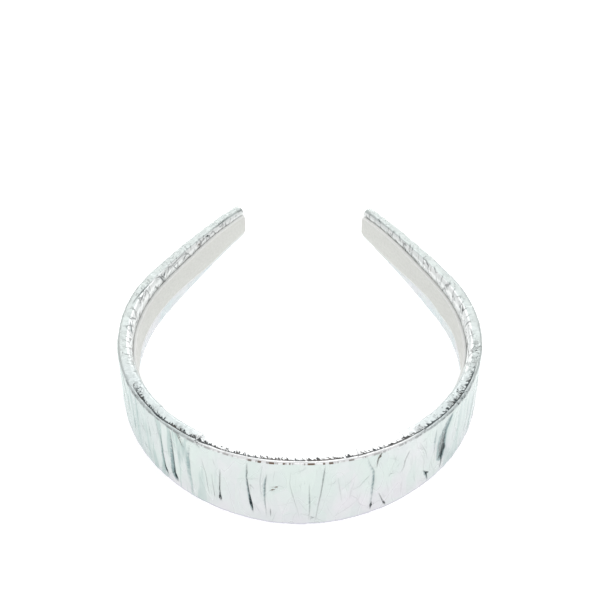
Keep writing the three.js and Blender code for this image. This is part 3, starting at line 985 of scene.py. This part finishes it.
def rim_colour(nodes, base, on_rim, leg, inner_side, crinkle_tone):
    """The top rim painted white where it catches the light on the crown and painted grey shade to the sides,
    on the legs and on some crinkles, and the margin inside the legs painted bright.
    """
    outside = nodes.spread(inner_side, 0.0, 1.0, 1.0, 0.0)
    colour = nodes.mix(nodes.number("side_rim_shade"), BRIGHT_RIM, SIDE_RIM_SHADE)
    colour = nodes.mix(leg, colour, LEG_RIM)
    base = nodes.mix(nodes.product(inner_side, 0.92), base, LEG_MARGIN)
    base = nodes.mix(nodes.product(on_rim, outside, 0.93), base, colour)
    dim = nodes.product(on_rim, nodes.spread(crinkle_tone, 0.55, 1.0, 0.0, 0.25), leg,
                        nodes.spread(inner_side, 0.0, 1.0, 1.0, 0.3))
    return nodes.mix(dim, base, FACET_SHADE)


def fold_shading(nodes, base, place):
    """Painted shade in the folds: blue-grey, and nearly black where they are deepest."""
    mottle = nodes.spread(nodes.noise(place, FOLD_MOTTLE, 3), 0.35, 0.65, 0.75, 1.2)
    tint = nodes.product(nodes.number("tint"), mottle)
    base = nodes.mix(nodes.product(nodes.spread(tint, 0.2, 0.9), 0.9), base, FOLD_SHADE_BLUE)
    return nodes.mix(nodes.product(nodes.spread(tint, 1.0, 1.5), 0.8), base, DARK_LINE)


def low_colour(nodes, base, place, past_bottom, leg):
    """Lilac-grey painted shade along the bottom rim, where it turns under, and pale blue patches on the
    margin turned in below the lining.
    """
    turned_in = nodes.product(nodes.spread(past_bottom, *LOW_MARGIN_START), leg)
    patches = nodes.spread(nodes.noise(place, LOW_PATCHES, 3), 0.42, 0.62, 0.15, 0.9)
    base = nodes.mix(nodes.product(turned_in, patches), base, LOW_MARGIN)
    return nodes.mix(nodes.product(nodes.band(past_bottom, *LOW_RIM_ZONE, 0.12), 0.75), base, LOW_RIM)


def pearl_leather():
    """Crinkled leather with a pearly metallic skin: mint to lavender, with painted shade in the creases and
    folds and painted light, shade and reflections on the rims.
    """
    nodes = Nodes("pearl_leather")
    place = nodes.place("sheet")
    upright = nodes.stretched(place, (1.0, 0.35, 1.0))
    past_top = nodes.number("past_top")
    past_bottom = nodes.number("past_bottom")
    gather = nodes.number("gather")
    leg = nodes.number("leg")
    below_rim = nodes.spread(past_top, *FACE_END, 1.0, 0.0)
    on_face = nodes.product(below_rim, nodes.spread(past_bottom, *FACE_END, 1.0, 0.0))
    on_rim = nodes.spread(past_top, *RIM_START)
    inner_side = nodes.product(nodes.spread(past_top, *MARGIN_START), leg)
    crinkle_place = nodes.warped(nodes.stretched(nodes.place("rim_sheet"), (1.0, 0.6, 1.0)), 500, 0.0015)
    crinkles = nodes.cells(crinkle_place, CRINKLES, "F1")
    tone = nodes.add("ShaderNodeSeparateColor")
    nodes.link(crinkles.outputs["Color"], tone.inputs["Color"])

    base = face_colour(nodes, upright, on_face)
    base = rim_colour(nodes, base, on_rim, leg, inner_side, tone.outputs["Red"])
    facet, facet_line = leg_facets(nodes, nodes.product(leg, nodes.spread(past_top, *FACETS_START)))
    base = nodes.mix(facet, base, FACET_SHADE)
    base = fold_shading(nodes, base, place)
    base = low_colour(nodes, base, place, past_bottom, leg)
    # Teal painted shade in streaks down the pleats of the face
    streaks = nodes.spread(nodes.noise(nodes.stretched(place, (1.0, 0.09, 1.0)), STREAKS, 2), 0.5, 0.62)
    base = nodes.mix(nodes.product(streaks, on_face, nodes.number("streak_shade"), 0.75), base, STREAK_TEAL_SHADE)

    # Painted shade: dark lines of creases and crumples, and the crinkle marks on the top rim
    line, distance = crease_line(nodes)
    above, below = rim_marks(nodes, past_top, gather)
    centre = nodes.number("centre")
    # Painted reflections: brown in the creases' warm values, and dark to brown in the dashes just below the
    # rim's edge
    warm = nodes.larger(nodes.number("crease_warm"), nodes.product(below, centre))
    on_crown = nodes.spread(leg, 0.0, 0.7, 1.0, 0.0)
    dashes = nodes.product(below, nodes.spread(centre, 0.2, 0.9, 0.45, 1.0), on_crown)
    dark = nodes.larger(line, facet_line, above, dashes)
    shade_and_reflection = nodes.mix(nodes.math("MULTIPLY", warm, 1.0, clamp=True), DARK_LINE, WARM_REFLECTION)
    base = nodes.mix(nodes.math("MULTIPLY", dark, 0.9, clamp=True), base, shade_and_reflection)
    # A glue line along the lining's edge, darkened further as a painted contact shadow
    uneven = nodes.spread(nodes.noise(place, GLUE_AND_SHADOW_BREAKS, 2), 0.36, 0.56, 0.15, 0.6)
    glue_and_shadow = nodes.product(nodes.band(nodes.number("seam"), *GLUE_AND_SHADOW_ZONE, 0.08), uneven)
    nodes.link(nodes.mix(glue_and_shadow, base, GLUE_AND_SHADOW), nodes.shader.inputs["Base Color"])

    # Less gloss on the painted lines of shade and reflection
    shiny = nodes.math("SUBTRACT", 1.0, nodes.math("MULTIPLY", dark, 1.0, clamp=True))
    nodes.link(nodes.product(shiny, 0.25), nodes.shader.inputs["Metallic"])
    nodes.link(nodes.product(shiny, 0.5), nodes.shader.inputs["Specular IOR Level"])
    nodes.link(nodes.product(shiny, 0.35), nodes.shader.inputs["Coat Weight"])
    nodes.shader.inputs["Coat Roughness"].default_value = 0.1
    rough = nodes.spread(nodes.noise(upright, GLOSS_DRIFT, 1), 0.3, 0.7, 0.22, 0.3)
    nodes.link(rough, nodes.shader.inputs["Roughness"])
    valley = nodes.product(nodes.spread(distance, 0.0, 0.6, -1.0, 0.0), nodes.number("crease_dark"))
    crumple = nodes.product(crinkles.outputs["Distance"], on_rim, nodes.spread(gather, 0.0, 1.0, 0.3, 1.3),
                            nodes.spread(inner_side, 0.0, 1.0, 1.0, 0.35))
    surface = nodes.math("ADD", valley, crumple)
    nodes.link(nodes.bump(surface, 0.6, 0.0003), nodes.shader.inputs["Normal"])
    return nodes.material


WEAVE_GREY = (0.68, 0.69, 0.655)
WEAVE_PALE = (0.75, 0.755, 0.725)
# Paler selvedge along the lining's edges, partly a painted highlight
PALE_EDGE_AND_HIGHLIGHT = (0.86, 0.865, 0.85)
RIBS = 520
MOTTLE = 900


def grey_weave():
    """Matt, light grey woven strip with paler cut edges, their paleness partly a painted highlight."""
    nodes = Nodes("grey_weave")
    place = nodes.place("sheet")
    ribs = nodes.add("ShaderNodeTexWave", wave_type="BANDS", bands_direction="X")
    nodes.link(place, ribs.inputs["Vector"])
    ribs.inputs["Scale"].default_value = RIBS
    ribs.inputs["Distortion"].default_value = 0.6
    mottle = nodes.noise(place, MOTTLE, 4)
    base = nodes.mix(nodes.spread(mottle, 0.3, 0.7), WEAVE_GREY, WEAVE_PALE)
    base = nodes.mix(nodes.math("MULTIPLY", nodes.number("edge"), 0.8), base, PALE_EDGE_AND_HIGHLIGHT)
    nodes.link(base, nodes.shader.inputs["Base Color"])
    nodes.shader.inputs["Roughness"].default_value = 0.92
    nodes.shader.inputs["Sheen Weight"].default_value = 0.25
    nodes.shader.inputs["Sheen Roughness"].default_value = 0.6
    surface = nodes.math("ADD", nodes.math("MULTIPLY", ribs.outputs["Fac"], 0.5), mottle)
    nodes.link(nodes.bump(surface, 0.35, 0.0002), nodes.shader.inputs["Normal"])
    return nodes.material


def white_floor():
    """White paper, lit so that it stays white in the band's shadow."""
    nodes = Nodes("white_floor")
    place = nodes.add("ShaderNodeNewGeometry").outputs["Position"]
    tone = nodes.noise(place, 6, 2)
    nodes.link(nodes.mix(tone, (0.92, 0.92, 0.92), (0.95, 0.95, 0.95)), nodes.shader.inputs["Base Color"])
    nodes.shader.inputs["Roughness"].default_value = 0.9
    nodes.shader.inputs["Emission Color"].default_value = (1, 1, 1, 1)
    nodes.shader.inputs["Emission Strength"].default_value = 0.42
    return nodes.material


def make_floor():
    size = 3.0
    corners = [(-size, -size, 0), (size, -size, 0), (size, size, 0), (-size, size, 0)]
    floor = new_object("floor", np.array(corners, dtype=float), [(0, 1, 2, 3)])
    floor.data.materials.append(white_floor())


def make_camera():
    azimuth = math.radians(CAMERA_AZIMUTH)
    elevation = math.radians(CAMERA_ELEVATION)
    back = np.array([math.sin(azimuth) * math.cos(elevation), -math.cos(azimuth) * math.cos(elevation),
                     math.sin(elevation)])
    data = bpy.data.cameras.new("camera")
    data.lens = CAMERA_LENS
    data.sensor_width = 36
    data.clip_start = 0.01
    camera = bpy.data.objects.new("camera", data)
    camera.location = np.array(CAMERA_TARGET) * MM + back * CAMERA_DISTANCE
    camera.rotation_euler = (math.pi / 2 - elevation, 0, azimuth)
    bpy.context.scene.collection.objects.link(camera)
    bpy.context.scene.camera = camera


def make_light(name, place, size, power):
    """A softbox aimed at the band."""
    data = bpy.data.lights.new(name, "AREA")
    data.shape = "RECTANGLE"
    data.size, data.size_y = size
    data.energy = power
    light = bpy.data.objects.new(name, data)
    light.location = place
    light.rotation_euler = (-Vector(place)).to_track_quat("-Z", "Y").to_euler()
    bpy.context.scene.collection.objects.link(light)


def make_world():
    world = bpy.data.worlds.new("white_room")
    world.use_nodes = True
    background = world.node_tree.nodes["Background"]
    background.inputs["Color"].default_value = (1.0, 1.0, 1.0, 1.0)
    background.inputs["Strength"].default_value = 0.62
    bpy.context.scene.world = world


def light_scene():
    make_world()
    make_light("key", (0.1, -0.8, 0.8), (0.4, 0.4), 1.3)
    make_light("top", (0.0, 0.8, 1.0), (0.9, 0.6), 3.6)
    make_light("back", (0.0, 1.1, 0.4), (0.8, 0.4), 3.0)
    bpy.context.scene.view_settings.view_transform = "Standard"


make_camera()
cover = make_cover()
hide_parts("covered_band")
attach(cover, "root")

lining, lining_area = make_lining()
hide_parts("lining_strip")
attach(lining, "root")

make_floor()
light_scene()
